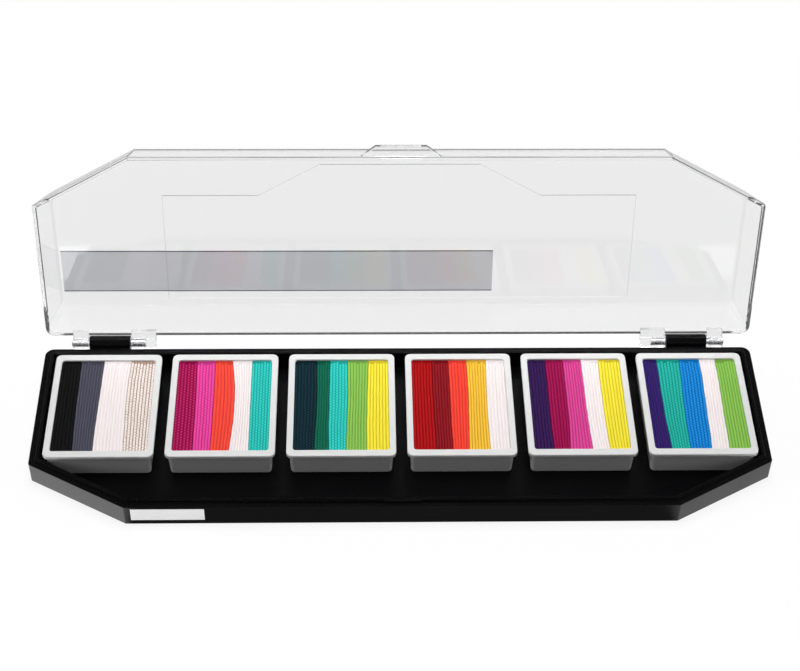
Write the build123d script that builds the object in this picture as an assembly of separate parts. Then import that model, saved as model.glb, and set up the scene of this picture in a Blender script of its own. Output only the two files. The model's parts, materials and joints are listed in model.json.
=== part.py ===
from build123d import *
from math import atan2, cos, pi, sin, tan
import os

# A flat face paint palette: a shallow black tray with a clear lid hinged at its back edge,
# and six white cups of striped paint standing in it.
# The origin is at the centre of the tray's underside. +X is right, -Y is the front and +Z is up.
# Lengths are in millimetres and angles in degrees.

# Outline of the tray and the lid, seen from above
WIDTH = 240.0
DEPTH = 69.0
SIDE_LENGTH = 51.0  # the straight side, from the back edge to the cut-off front corner
FRONT_CORNER_CUT = 32.0  # how far the front corners are cut off along the front edge
BACK_CORNER_RADIUS = 3.0
FRONT_CORNER_RADIUS = 1.0
SHARPEST_RADIUS = 0.4  # left on an inner corner whose outer radius is used up by the wall

# Tray
TRAY_HEIGHT = 8.6  # from the underside to the ledge that the lid closes on
FLOOR_THICKNESS = 2.3
LEDGE_WIDTH = 2.1
LIP_THICKNESS = 1.2
LIP_HEIGHT = 0.9
FOOT_BEVEL = 0.5
CATCH_WIDTH = 12.0
CATCH_REACH = 0.6

# Lid
LID_DEPTH = 13.0  # from the rim to the outside of the panel
LID_WALL = 1.5
PANEL_THICKNESS = 1.5
WALL_LEAN = 4.1  # how far the walls draw in between the rim and the panel
LID_SEAT_GAP = 0.1
PANEL_EDGE_RADIUS = 0.5
OPEN_ANGLE = 102.0  # from closed to the stop

# Raised shape inside the lid's panel
PLATFORM_HEIGHT = 0.3
PLATFORM_WIDTH = 158.0
SHOULDER_WIDTH = 94.0
CROWN_WIDTH = 53.0
SHOULDER_FROM_BACK = 48.3
CROWN_FROM_BACK = 60.0

# Thumb tab and latch pocket at the lid's front
TAB_REACH = 3.5
TAB_TIP_WIDTH = 16.6
TAB_ROOT_WIDTH = 25.4
TAB_THICKNESS = 1.6
TAB_ROOT_BITE = 0.8  # how far the tab's root runs into the lid's wall
LATCH_WIDTH = 13.2
LATCH_DEPTH = 0.8
LATCH_HEIGHT = 1.3

# Hinges
KNUCKLE_DIAMETER = 5.0
KNUCKLE_WALL_GAP = 0.3
KNUCKLE_SIDE_GAP = 0.3
HINGE_FROM_SIDE = 21.6  # from the palette's side to the middle of the tray's knuckle
TRAY_KNUCKLE_LENGTH = 13.8
OUTER_KNUCKLE_LENGTH = 5.4
INNER_KNUCKLE_LENGTH = 8.4
KNUCKLE_ROOT_BITE = 1.2
PIN_DIAMETER = 2.3
PIN_RUNNING_CLEARANCE = 0.05
PIN_PROUD = 0.4
PIN_END_GAP = 0.1
KNURL_LENGTH = 4.9
KNURL_GROOVES = 24
KNURL_TOOTH = 0.12
STOP_HEEL_HEIGHT = 1.3
STOP_GAP = 0.05

# Cups
CUPS_FROM_SIDE = 4.8  # from the palette's side to the outer cups' rims
CUP_SPACING = 3.6  # between one cup's rim and the next
CUP_DEPTH = 45.0
CUP_HEIGHT = 9.8
CUP_FROM_BACK = 6.0  # from the tray's back edge to the cups' rims
CUP_RIM_RADIUS = 2.0
CUP_RIM_HEIGHT = 1.4
CUP_RIM_OVERHANG = 0.9
CUP_BODY_RADIUS = 1.5
CUP_BODY_DRAFT = 0.4
CUP_FLOOR = 1.2
CUP_SIDE_RIM = 2.1
CUP_END_RIM = 2.6
CAKE_RADIUS = 1.0
CAKE_BELOW_RIM = 0.5

# Printed films
FILM_THICKNESS = 0.12
BAND_LENGTH = 146.5
BAND_HEIGHT = 16.2
BAND_FROM_PANEL_SIDE = 1.4
BAND_FROM_PANEL_BACK = 5.9
BAR_LENGTH = 23.3
BAR_FROM_CORNER = 2.0
BAR_BELOW_LEDGE = 0.9
BAR_ABOVE_UNDERSIDE = 2.5

# The paint in each cup from left to right: its name, and its share of the cake's width at
# the back and at the front
STRIPES = [
    [("black", 6.4, 7.0), ("slate", 7.7, 6.6), ("white", 8.9, 9.9), ("pearl", 8.2, 7.7)],
    [
        ("plum", 6.2, 6.7),
        ("orchid", 5.9, 5.6),
        ("vermilion", 5.9, 5.9),
        ("white", 6.5, 6.4),
        ("turquoise", 6.7, 6.6),
    ],
    [
        ("navy", 7.4, 6.8),
        ("green", 4.5, 4.8),
        ("turquoise", 5.7, 5.5),
        ("lime", 7.1, 6.8),
        ("yellow", 6.5, 7.3),
    ],
    [
        ("red", 6.9, 7.4),
        ("wine", 5.6, 5.4),
        ("coral", 6.0, 5.1),
        ("amber", 6.6, 6.9),
        ("white", 6.1, 6.4),
    ],
    [
        ("purple", 6.1, 6.4),
        ("magenta", 5.9, 5.2),
        ("pink", 6.2, 7.3),
        ("white", 5.9, 5.7),
        ("yellow", 7.1, 6.6),
    ],
    [
        ("violet", 4.9, 5.6),
        ("teal", 7.6, 5.9),
        ("blue", 6.8, 6.9),
        ("white", 5.3, 5.8),
        ("lime", 6.6, 7.0),
    ],
]

# Places that follow from the sizes above
BACK = DEPTH / 2
FRONT = -DEPTH / 2
FRONT_WIDTH = WIDTH - 2 * FRONT_CORNER_CUT
CORNER_CUT_ANGLE = atan2(DEPTH - SIDE_LENGTH, FRONT_CORNER_CUT)
LIP_TOP = TRAY_HEIGHT + LIP_HEIGHT
WELL_INSET = LEDGE_WIDTH + LIP_THICKNESS
RIM_LEVEL = TRAY_HEIGHT + LID_SEAT_GAP
LID_TOP = RIM_LEVEL + LID_DEPTH
PANEL_UNDERSIDE = LID_TOP - PANEL_THICKNESS
AXIS_Y = BACK + KNUCKLE_DIAMETER / 2 + KNUCKLE_WALL_GAP
AXIS_Z = TRAY_HEIGHT
HINGE_AXIS = Axis((0, AXIS_Y, AXIS_Z), (1, 0, 0))
CUP_COUNT = len(STRIPES)
CUP_WIDTH = (WIDTH - 2 * CUPS_FROM_SIDE - (CUP_COUNT - 1) * CUP_SPACING) / CUP_COUNT
CUP_PITCH = CUP_WIDTH + CUP_SPACING
CUP_CENTRE_Y = BACK - CUP_FROM_BACK - CUP_DEPTH / 2
CAKE_WIDTH = CUP_WIDTH - 2 * CUP_SIDE_RIM
CAKE_DEPTH = CUP_DEPTH - 2 * CUP_END_RIM
CAKE_HEIGHT = CUP_HEIGHT - CUP_FLOOR - CAKE_BELOW_RIM
OVERCUT = 1.0  # how far a cutting shape runs past the face it opens


def lean_at(z):
    """How far the lid's wall has drawn in at a height, measured with the lid closed."""
    return WALL_LEAN * (z - RIM_LEVEL) / LID_DEPTH


def outline(inset):
    """The palette's outline as a face, drawn in by an even margin."""
    side = WIDTH / 2 - inset
    corner = FRONT_WIDTH / 2 - inset * tan(CORNER_CUT_ANGLE / 2)
    corner_y = BACK - SIDE_LENGTH + inset * tan((pi / 2 - CORNER_CUT_ANGLE) / 2)
    right = [(side, BACK - inset), (side, corner_y), (corner, FRONT + inset)]
    left = [(-x, y) for x, y in reversed(right)]
    return make_face(Polyline(*right, *left, close=True))


def block(low_inset, low, high_inset, high):
    """A solid with the palette's outline between two heights, with its upright corners rounded."""
    solid = loft([Pos(0, 0, low) * outline(low_inset), Pos(0, 0, high) * outline(high_inset)], ruled=True)
    used = max(low_inset, high_inset)
    for radius, at_back in ((BACK_CORNER_RADIUS, True), (FRONT_CORNER_RADIUS, False)):
        edges = [
            edge
            for edge in solid.edges()
            if abs((edge @ 1 - edge @ 0).Z) > (high - low) / 2 and (edge.center().Y > 0) == at_back
        ]
        solid = fillet(edges, max(radius - used, SHARPEST_RADIUS))
    return solid


def span(x0, x1, y0, y1, z0, z1):
    """A box between two corners."""
    return Pos((x0 + x1) / 2, (y0 + y1) / 2, (z0 + z1) / 2) * Box(x1 - x0, y1 - y0, z1 - z0)


def rod(diameter, x0, x1):
    """A round rod on the hinge's axis."""
    return Pos((x0 + x1) / 2, AXIS_Y, AXIS_Z) * Rot(0, 90, 0) * Cylinder(diameter / 2, x1 - x0)


def mirrored(solid):
    """The same solid on the palette's other side."""
    return mirror(solid, about=Plane.YZ)


# Lengths along the right-hand hinge, measured from the middle of the palette
HINGE_CENTRE = WIDTH / 2 - HINGE_FROM_SIDE
TRAY_KNUCKLE = (HINGE_CENTRE - TRAY_KNUCKLE_LENGTH / 2, HINGE_CENTRE + TRAY_KNUCKLE_LENGTH / 2)
OUTER_START = TRAY_KNUCKLE[1] + KNUCKLE_SIDE_GAP
OUTER_KNUCKLE = (OUTER_START, OUTER_START + OUTER_KNUCKLE_LENGTH)
INNER_END = TRAY_KNUCKLE[0] - KNUCKLE_SIDE_GAP
INNER_KNUCKLE = (INNER_END - INNER_KNUCKLE_LENGTH, INNER_END)
PIN_SPAN = (INNER_END - KNURL_LENGTH, OUTER_KNUCKLE[1] + PIN_PROUD)


def tray():
    """The tray: a floor and a low wall, with a ledge for the lid and a lip inside the ledge."""
    body = block(0, 0, 0, TRAY_HEIGHT)
    body = chamfer(body.faces().sort_by(Axis.Z)[0].edges(), FOOT_BEVEL)
    body += block(LEDGE_WIDTH, FLOOR_THICKNESS, LEDGE_WIDTH, LIP_TOP)
    body -= block(WELL_INSET, FLOOR_THICKNESS, WELL_INSET, LIP_TOP + OVERCUT)
    lip_front = FRONT + LEDGE_WIDTH
    half = CATCH_WIDTH / 2
    body += span(-half, half, lip_front - CATCH_REACH, lip_front + LIP_THICKNESS / 2, TRAY_HEIGHT, LIP_TOP)
    start, end = TRAY_KNUCKLE
    knuckle = rod(KNUCKLE_DIAMETER, start, end)
    knuckle += span(
        start, end, BACK - KNUCKLE_ROOT_BITE, AXIS_Y, AXIS_Z - KNUCKLE_DIAMETER / 2, AXIS_Z
    )
    knuckle -= rod(PIN_DIAMETER + 2 * PIN_RUNNING_CLEARANCE, start - OVERCUT, end + OVERCUT)
    return body + knuckle + mirrored(knuckle)


def lid_hollow():
    """The room inside the closed lid, with the panel's raised shape left standing in it."""
    low = RIM_LEVEL - OVERCUT
    hollow = block(LID_WALL + lean_at(low), low, LID_WALL + lean_at(PANEL_UNDERSIDE), PANEL_UNDERSIDE)
    shoulder = BACK - SHOULDER_FROM_BACK
    right = [
        (PLATFORM_WIDTH / 2, BACK),
        (PLATFORM_WIDTH / 2, shoulder),
        (SHOULDER_WIDTH / 2, shoulder),
        (CROWN_WIDTH / 2, BACK - CROWN_FROM_BACK),
    ]
    left = [(-x, y) for x, y in reversed(right)]
    shape = make_face(Polyline(*right, *left, close=True))
    platform = Pos(0, 0, PANEL_UNDERSIDE - PLATFORM_HEIGHT) * extrude(shape, PLATFORM_HEIGHT + OVERCUT)
    return hollow - platform


def lid_knuckles():
    """The lid's two clear knuckles on the right-hand hinge, with the webs that join them to its wall."""
    knuckles = None
    for start, end in (OUTER_KNUCKLE, INNER_KNUCKLE):
        piece = rod(KNUCKLE_DIAMETER, start, end)
        top = AXIS_Z + KNUCKLE_DIAMETER / 2
        piece += span(start, end, BACK - KNUCKLE_ROOT_BITE, AXIS_Y, RIM_LEVEL, top)
        knuckles = piece if knuckles is None else knuckles + piece
    return knuckles - rod(PIN_DIAMETER, PIN_SPAN[0] - PIN_END_GAP, PIN_SPAN[1] + OVERCUT)


def stop_heels():
    """The square heels under the open lid's knuckles, which rest on the tray's back wall."""
    near = AXIS_Y - (BACK + STOP_GAP)
    heels = None
    for start, end in (OUTER_KNUCKLE, INNER_KNUCKLE):
        piece = span(start, end, AXIS_Y - near, AXIS_Y, AXIS_Z - STOP_HEEL_HEIGHT, AXIS_Z)
        heels = piece if heels is None else heels + piece
    return heels - rod(PIN_DIAMETER, PIN_SPAN[0] - PIN_END_GAP, PIN_SPAN[1] + OVERCUT)


def opened(solid):
    """A piece of the closed lid turned about the hinges to where the open lid stands."""
    return solid.rotate(HINGE_AXIS, -OPEN_ANGLE)


def thumb_tab():
    """The tab that a thumb lifts, level with the closed lid's rim."""
    root = FRONT + TAB_ROOT_BITE
    slope = (TAB_ROOT_WIDTH - TAB_TIP_WIDTH) / 2 / TAB_REACH
    root_half = TAB_ROOT_WIDTH / 2 + slope * TAB_ROOT_BITE
    tip = FRONT - TAB_REACH
    corners = [(-root_half, root), (root_half, root), (TAB_TIP_WIDTH / 2, tip), (-TAB_TIP_WIDTH / 2, tip)]
    return Pos(0, 0, RIM_LEVEL) * extrude(make_face(Polyline(*corners, close=True)), TAB_THICKNESS)


def lid():
    """The clear lid as it stands open: four leaning walls, a panel, the tab and four knuckles."""
    shell = block(0, RIM_LEVEL, WALL_LEAN, LID_TOP)
    shell = fillet(shell.faces().sort_by(Axis.Z)[-1].edges(), PANEL_EDGE_RADIUS)
    shell += thumb_tab()
    shell -= lid_hollow()
    half = LATCH_WIDTH / 2
    pocket_front = FRONT + LID_WALL - LATCH_DEPTH
    shell -= span(
        -half, half, pocket_front, FRONT + LID_WALL + OVERCUT, RIM_LEVEL - OVERCUT, RIM_LEVEL + LATCH_HEIGHT
    )
    knuckles = lid_knuckles()
    heels = stop_heels()
    return opened(shell + knuckles + mirrored(knuckles)) + heels + mirrored(heels)


def hinge_pin():
    """The right-hand hinge's steel pin, with a knurled end that grips the lid's inner knuckle."""
    start, end = PIN_SPAN
    smooth_start = start + KNURL_LENGTH
    crest = PIN_DIAMETER / 2 + KNURL_TOOTH / 2
    root = PIN_DIAMETER / 2 - KNURL_TOOTH / 2
    corners = []
    for i in range(2 * KNURL_GROOVES):
        radius = root if i % 2 else crest
        angle = pi * i / KNURL_GROOVES
        corners.append((radius * cos(angle), radius * sin(angle)))
    knurl = Plane((start, AXIS_Y, AXIS_Z), x_dir=(0, 1, 0), z_dir=(1, 0, 0)) * make_face(
        Polyline(*corners, close=True)
    )
    return extrude(knurl, KNURL_LENGTH) + rod(PIN_DIAMETER, smooth_start, end)


def cup():
    """One white cup with its rim and its hollow, standing at the origin."""
    rim_level = CUP_HEIGHT - CUP_RIM_HEIGHT
    wide = CUP_WIDTH - 2 * CUP_RIM_OVERHANG
    deep = CUP_DEPTH - 2 * CUP_RIM_OVERHANG
    shapes = [
        RectangleRounded(wide - 2 * CUP_BODY_DRAFT, deep - 2 * CUP_BODY_DRAFT, CUP_BODY_RADIUS),
        Pos(0, 0, rim_level) * RectangleRounded(wide, deep, CUP_BODY_RADIUS),
    ]
    body = loft(shapes, ruled=True)
    rim = extrude(RectangleRounded(CUP_WIDTH, CUP_DEPTH, CUP_RIM_RADIUS), CUP_RIM_HEIGHT)
    hollow = extrude(RectangleRounded(CAKE_WIDTH, CAKE_DEPTH, CAKE_RADIUS), CUP_HEIGHT)
    return body + Pos(0, 0, rim_level) * rim - Pos(0, 0, CUP_FLOOR) * hollow


def edges_across(shares):
    """Where the stripes' edges fall across the cake, from its left side to its right."""
    edge = -CAKE_WIDTH / 2
    places = [edge]
    for share in shares:
        edge += CAKE_WIDTH * share / sum(shares)
        places.append(edge)
    return places


def paint_stripes(stripes):
    """The stripes of one cup's cake as (name, solid) pairs, standing on the cup's hollow floor."""
    cake = extrude(RectangleRounded(CAKE_WIDTH, CAKE_DEPTH, CAKE_RADIUS), CAKE_HEIGHT)
    at_back = edges_across([back for name, back, front in stripes])
    at_front = edges_across([front for name, back, front in stripes])
    half = CAKE_DEPTH / 2
    made = []
    for i, (name, back, front) in enumerate(stripes):
        back_side = [(at_back[i], half), (at_back[i + 1], half)]
        front_side = [(at_front[i + 1], -half), (at_front[i], -half)]
        prism = extrude(make_face(Polyline(*back_side, *front_side, close=True)), CAKE_HEIGHT)
        made.append((name, Pos(0, 0, CUP_FLOOR) * (cake & prism)))
    return made


def lid_band():
    """The grey band printed on the outside of the lid's panel."""
    left = -WIDTH / 2 + WALL_LEAN + BAND_FROM_PANEL_SIDE
    near_hinge = BACK - WALL_LEAN - BAND_FROM_PANEL_BACK
    return span(
        left, left + BAND_LENGTH, near_hinge - BAND_HEIGHT, near_hinge, LID_TOP, LID_TOP + FILM_THICKNESS
    )


def front_bar():
    """The white bar printed on the tray's front wall."""
    left = -FRONT_WIDTH / 2 + BAR_FROM_CORNER
    top = TRAY_HEIGHT - BAR_BELOW_LEDGE
    return span(left, left + BAR_LENGTH, FRONT - FILM_THICKNESS, FRONT, BAR_ABOVE_UNDERSIDE, top)


def all_nodes():
    """Every node of the palette as name and solid, with the lid open."""
    nodes = {"tray": tray(), "lid": lid(), "lid_band": opened(lid_band()), "front_bar": front_bar()}
    pin = hinge_pin()
    nodes["hinge_pin_right"] = pin
    nodes["hinge_pin_left"] = mirrored(pin)
    for i, stripes in enumerate(STRIPES):
        place = Pos((i - (CUP_COUNT - 1) / 2) * CUP_PITCH, CUP_CENTRE_Y, FLOOR_THICKNESS)
        nodes[f"cup_{i + 1}"] = place * cup()
        for name, stripe in paint_stripes(stripes):
            nodes[f"paint_{i + 1}_{name}"] = place * stripe
    return nodes


if __name__ == "__main__":
    os.makedirs("parts", exist_ok=True)
    for name, solid in all_nodes().items():
        export_step(solid, f"parts/{name}.step")
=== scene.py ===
import json
import math
import random

import bmesh
import bpy
from bpy.props import FloatProperty, FloatVectorProperty, IntProperty, PointerProperty
from mathutils import Matrix, Vector


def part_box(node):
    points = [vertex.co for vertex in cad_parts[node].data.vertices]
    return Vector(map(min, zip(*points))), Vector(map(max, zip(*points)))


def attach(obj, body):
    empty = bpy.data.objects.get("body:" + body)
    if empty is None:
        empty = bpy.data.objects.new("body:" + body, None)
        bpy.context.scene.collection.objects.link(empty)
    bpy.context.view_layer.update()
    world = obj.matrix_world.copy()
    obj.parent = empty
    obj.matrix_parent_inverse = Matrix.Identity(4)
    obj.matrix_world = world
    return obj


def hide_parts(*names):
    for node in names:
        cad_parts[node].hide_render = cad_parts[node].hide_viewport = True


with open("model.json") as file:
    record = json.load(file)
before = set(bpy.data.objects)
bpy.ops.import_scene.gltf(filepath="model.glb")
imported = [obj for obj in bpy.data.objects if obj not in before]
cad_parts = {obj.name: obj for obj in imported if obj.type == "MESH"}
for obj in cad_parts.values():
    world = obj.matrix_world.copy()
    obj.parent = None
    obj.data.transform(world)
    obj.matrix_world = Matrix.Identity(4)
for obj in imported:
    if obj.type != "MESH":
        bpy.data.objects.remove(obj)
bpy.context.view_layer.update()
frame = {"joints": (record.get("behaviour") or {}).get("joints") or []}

bl_info = {
    "name": "Face Paint Palette",
    "version": (1, 0, 0),
    "blender": (4, 5, 0),
    "location": "View3D > Sidebar > Palette",
    "description": "Dresses a hinged face paint palette: tray, clear lid, cups and combed paint",
    "category": "Object",
}

MM = 0.001
CLEAR = 0.02 * MM  # keeps a part that's added on off the level of the face beside it

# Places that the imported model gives. The palette's front is towards -Y.
TRAY_LOW, TRAY_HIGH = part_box("tray")
CUP_LOW, CUP_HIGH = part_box("cup_1")
HINGE = Vector(frame["joints"][0]["pos_m"])
OPEN_TURN = math.radians(frame["joints"][0]["range_deg"][0])
WIDTH = TRAY_HIGH.x - TRAY_LOW.x
FRONT = TRAY_LOW.y
BACK = -FRONT
LEDGE = HINGE.z
LIP_TOP = LEDGE + 0.9 * MM
RIM = LEDGE + 0.1 * MM  # the closed lid's rim, just clear of the ledge
CUPS = 6

# How the outline's front corners are cut off, and how its upright corners are rounded
CORNER_CUT = 32 * MM
CUT_DEPTH = 18 * MM
CUT_ANGLE = math.atan2(CUT_DEPTH, CORNER_CUT)
BACK_RADIUS = 3 * MM
FRONT_RADIUS = 1 * MM
LEAST_RADIUS = 0.4 * MM

# The right-hand hinge, along X from the middle of the palette
TRAY_KNUCKLE = (91.5 * MM, 105.3 * MM)
OUTER_KNUCKLE = (105.6 * MM, 111.0 * MM)
INNER_KNUCKLE = (82.8 * MM, 91.2 * MM)
PIN = (86.3 * MM, 111.4 * MM)
KNURL_END = 91.2 * MM
KNUCKLE_RADIUS = 2.5 * MM

# Each cup's stripes from left to right: paint, share of the width at the back and at the
# front, ridges, and how far the stripe's right-hand edge bows to the right halfway along
STRIPES = (
    (("black", 6.4, 7.0, 6, -0.1), ("slate", 7.7, 6.6, 8, -0.15), ("white", 8.9, 9.9, 9, -0.45),
     ("pearl", 8.2, 7.7, 8, 0)),
    (("plum", 6.2, 6.7, 6, 0.1), ("orchid", 5.9, 5.6, 6, 0.25), ("vermilion", 5.9, 5.9, 6, 1.25),
     ("white", 6.5, 6.4, 7, 0.1), ("turquoise", 6.7, 6.6, 7, 0)),
    (("navy", 7.4, 6.8, 7, 0.3), ("green", 4.5, 4.8, 5, -0.3), ("turquoise", 5.7, 5.5, 6, 0.2),
     ("lime", 7.1, 6.8, 7, -0.35), ("yellow", 6.5, 7.3, 7, 0)),
    (("red", 6.9, 7.4, 7, -0.2), ("wine", 5.6, 5.4, 6, -0.15), ("coral", 6.0, 5.1, 6, 0.3),
     ("amber", 6.6, 6.9, 7, -0.3), ("white", 6.1, 6.4, 6, 0)),
    (("purple", 6.1, 6.4, 6, -0.15), ("magenta", 5.9, 5.2, 6, 0.4), ("pink", 6.2, 7.3, 7, -0.2),
     ("white", 5.9, 5.7, 6, -0.4), ("yellow", 7.1, 6.6, 7, 0)),
    (("violet", 4.9, 5.6, 6, -0.35), ("teal", 7.6, 5.9, 7, -0.2), ("blue", 6.8, 6.9, 7, 0.3),
     ("white", 5.3, 5.8, 6, 0.2), ("lime", 6.6, 7.0, 7, 0)),
)

# Paints as they look in print: red, green and blue from 0 to 255, roughness, and beading, which is how
# far the comb's teeth left small beads along the ridges and how strongly the bead tops are brightened as
# painted glints
PAINTS = {
    "black": ((10, 10, 10), 0.5, 0.1),
    "slate": ((80, 80, 95), 0.55, 0.1),
    "white": ((245, 235, 235), 0.55, 0.1),
    "pearl": ((225, 210, 195), 0.4, 1.0),
    "plum": ((165, 5, 80), 0.45, 0.8),
    "orchid": ((230, 65, 155), 0.45, 0.6),
    "vermilion": ((255, 75, 60), 0.5, 0.1),
    "turquoise": ((40, 195, 185), 0.42, 0.7),
    "navy": ((5, 40, 50), 0.45, 0.3),
    "green": ((5, 100, 75), 0.45, 0.3),
    "lime": ((140, 195, 85), 0.5, 0.2),
    "yellow": ((255, 230, 60), 0.5, 0.2),
    "red": ((175, 10, 15), 0.5, 0.2),
    "wine": ((140, 10, 25), 0.45, 0.4),
    "coral": ((255, 70, 55), 0.5, 0.1),
    "amber": ((255, 195, 60), 0.5, 0.3),
    "purple": ((50, 20, 80), 0.45, 0.2),
    "magenta": ((155, 5, 75), 0.45, 0.3),
    "pink": ((220, 70, 150), 0.5, 0.3),
    "violet": ((50, 30, 105), 0.5, 0.1),
    "teal": ((30, 175, 160), 0.45, 0.5),
    "blue": ((10, 130, 210), 0.45, 0.6),
}


class Value:
    """One output of a tree's nodes, which sums and products can use like a number."""

    def __init__(self, nodes, socket):
        self.nodes = nodes
        self.socket = socket

    def maths(self, operation, *terms):
        return self.nodes.node("ShaderNodeMath", {"operation": operation}, dict(enumerate(terms)))

    def __add__(self, other):
        return self.maths("ADD", self, other)

    def __radd__(self, other):
        return self.maths("ADD", other, self)

    def __sub__(self, other):
        return self.maths("SUBTRACT", self, other)

    def __rsub__(self, other):
        return self.maths("SUBTRACT", other, self)

    def __mul__(self, other):
        return self.maths("MULTIPLY", self, other)

    def __rmul__(self, other):
        return self.maths("MULTIPLY", other, self)

    def at_least(self, other):
        return self.maths("MAXIMUM", self, other)


class Nodes:
    """A node tree in the making."""

    def __init__(self, tree):
        self.tree = tree

    def feed(self, socket, value):
        """Gives a socket a number, a colour or another node's output."""
        if isinstance(value, Value):
            self.tree.links.new(value.socket, socket)
        else:
            socket.default_value = value

    def node(self, kind, settings=None, inputs=None, output=0):
        """Adds a node with its settings, then feeds its sockets, and gives one of its outputs."""
        made = self.tree.nodes.new(kind)
        for name, value in (settings or {}).items():
            setattr(made, name, value)
        for name, value in (inputs or {}).items():
            self.feed(made.inputs[name], value)
        return Value(self, made.outputs[output])

    def noise(self, scale, detail=2.0, stretch=(1, 1, 1)):
        """Soft noise from 0 to 1 on Object coordinates, with scale in bumps for each metre."""
        coordinates = self.node("ShaderNodeTexCoord", output="Object")
        place = self.node("ShaderNodeMapping", None, {"Vector": coordinates, "Scale": stretch})
        return self.node("ShaderNodeTexNoise", None, {"Vector": place, "Scale": scale, "Detail": detail})

    def between(self, value, low, high, new_low=0.0, new_high=1.0):
        """A value brought from one range to another, and held inside it."""
        return self.node(
            "ShaderNodeMapRange",
            {"clamp": True},
            {"Value": value, "From Min": low, "From Max": high, "To Min": new_low, "To Max": new_high},
        )

    def blend(self, share, first, second):
        """A colour between two colours."""
        return self.node(
            "ShaderNodeMix", {"data_type": "RGBA"}, {0: share, 6: first, 7: second}, output=2
        )


class Finish(Nodes):
    """A material in the making, built round its Principled shader."""

    def __init__(self, name, **constants):
        self.material = bpy.data.materials.new(name)
        self.material.use_nodes = True
        super().__init__(self.material.node_tree)
        self.shader = self.tree.nodes["Principled BSDF"]
        self.output = self.tree.nodes["Material Output"]
        for socket, value in constants.items():
            self.shader.inputs[socket.replace("_", " ")].default_value = value

    def bump(self, height, distance, strength=1.0):
        """Gives the shader small relief of a depth in metres."""
        normal = self.node(
            "ShaderNodeBump", None, {"Strength": strength, "Distance": distance, "Height": height}
        )
        self.feed(self.shader.inputs["Normal"], normal)

    def set(self, socket, value):
        self.feed(self.shader.inputs[socket], value)


def linear(colour):
    """A printed colour, from 0 to 255, as the shader's own light values."""
    parts = [c / 255 for c in colour]
    parts = [c / 12.92 if c <= 0.04045 else ((c + 0.055) / 1.055) ** 2.4 for c in parts]
    return (*parts, 1.0)


def dimmed(colour, share):
    return (*(c * share for c in colour[:3]), 1.0)


# Modelling by hand: each of these works on one piece, with nothing else selected


def alone(piece):
    """Leaves only this piece selected and active."""
    bpy.ops.object.select_all(action="DESELECT")
    piece.select_set(True)
    bpy.context.view_layer.objects.active = piece


def settle(piece, name):
    """Names a new primitive and brings its place into its mesh."""
    piece.name = name
    piece.data.name = name
    alone(piece)
    bpy.ops.object.transform_apply(location=True, rotation=True, scale=True)
    return piece


def block(name, low, high):
    """A cube added at its size and place."""
    low, high = Vector(low), Vector(high)
    bpy.ops.object.select_all(action="DESELECT")
    bpy.ops.mesh.primitive_cube_add(size=1, location=(low + high) / 2, scale=high - low)
    return settle(bpy.context.object, name)


def rod(name, radius, span, sides):
    """A round rod along the hinges' axis."""
    bpy.ops.object.select_all(action="DESELECT")
    bpy.ops.mesh.primitive_cylinder_add(
        vertices=sides,
        radius=radius,
        depth=span[1] - span[0],
        location=((span[0] + span[1]) / 2, HINGE.y, HINGE.z),
        rotation=(0, math.pi / 2, 0),
    )
    return settle(bpy.context.object, name)


class Bench:
    """A piece in edit mode, with ways to pick its faces and edges by where they are."""

    def __init__(self, piece):
        self.piece = piece

    def __enter__(self):
        alone(self.piece)
        bpy.ops.object.mode_set(mode="EDIT")
        bpy.ops.mesh.select_all(action="SELECT")
        return self

    def __exit__(self, *problem):
        bpy.ops.object.mode_set(mode="OBJECT")

    def pick(self, kind, test):
        """Selects the faces, edges or vertices that pass the test."""
        bpy.ops.mesh.select_mode(type=kind)
        bpy.ops.mesh.select_all(action="DESELECT")
        mesh = bmesh.from_edit_mesh(self.piece.data)
        found = False
        for part in {"FACE": mesh.faces, "EDGE": mesh.edges, "VERT": mesh.verts}[kind]:
            if test(part):
                part.select_set(True)
                found = True
        mesh.select_flush_mode()
        bmesh.update_edit_mesh(self.piece.data)
        if not found:
            raise RuntimeError(f"{self.piece.name}: nothing was there to pick")

    def cap(self, sign, axis=2):
        """Picks the outermost flat face along an axis, on its high or its low side."""
        mesh = bmesh.from_edit_mesh(self.piece.data)
        facing = [f for f in mesh.faces if f.normal[axis] * sign > 0.9]
        level = max(f.calc_center_median()[axis] * sign for f in facing)
        self.pick(
            "FACE",
            lambda f: f.normal[axis] * sign > 0.9
            and f.calc_center_median()[axis] * sign > level - 1e-6,
        )

    def inset(self, width):
        bpy.ops.mesh.inset(thickness=width)

    def move(self, by):
        bpy.ops.transform.translate(value=by)

    def extrude(self, by):
        bpy.ops.mesh.extrude_region_move(TRANSFORM_OT_translate={"value": by})

    def cut_off(self, point, normal):
        """Cuts away what lies beyond a plane and closes the cut."""
        bpy.ops.mesh.select_all(action="SELECT")
        normal = Vector(normal).normalized()
        bpy.ops.mesh.bisect(plane_co=point, plane_no=normal, use_fill=True, clear_outer=True)

    def slice(self, point, normal):
        """Cuts new edges along a plane and keeps both sides."""
        bpy.ops.mesh.select_all(action="SELECT")
        bpy.ops.mesh.bisect(plane_co=point, plane_no=normal)

    def bevel(self, width, segments):
        bpy.ops.mesh.bevel(offset=width, segments=segments, affect="EDGES", offset_type="OFFSET")

    def outwards(self):
        bpy.ops.mesh.select_all(action="SELECT")
        bpy.ops.mesh.normals_make_consistent(inside=False)


def apply(piece, kind, **settings):
    """Adds a modifier, sets it and applies it."""
    alone(piece)
    modifier = piece.modifiers.new(kind.lower(), kind)
    for name, value in settings.items():
        setattr(modifier, name, value)
    bpy.ops.object.modifier_apply(modifier=modifier.name)


def soften(piece, width, segments=2, angle=30):
    """Rounds every sharp edge a little, as a mould leaves it."""
    apply(
        piece,
        "BEVEL",
        width=width,
        segments=segments,
        limit_method="ANGLE",
        angle_limit=math.radians(angle),
        use_clamp_overlap=False,
    )


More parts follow.
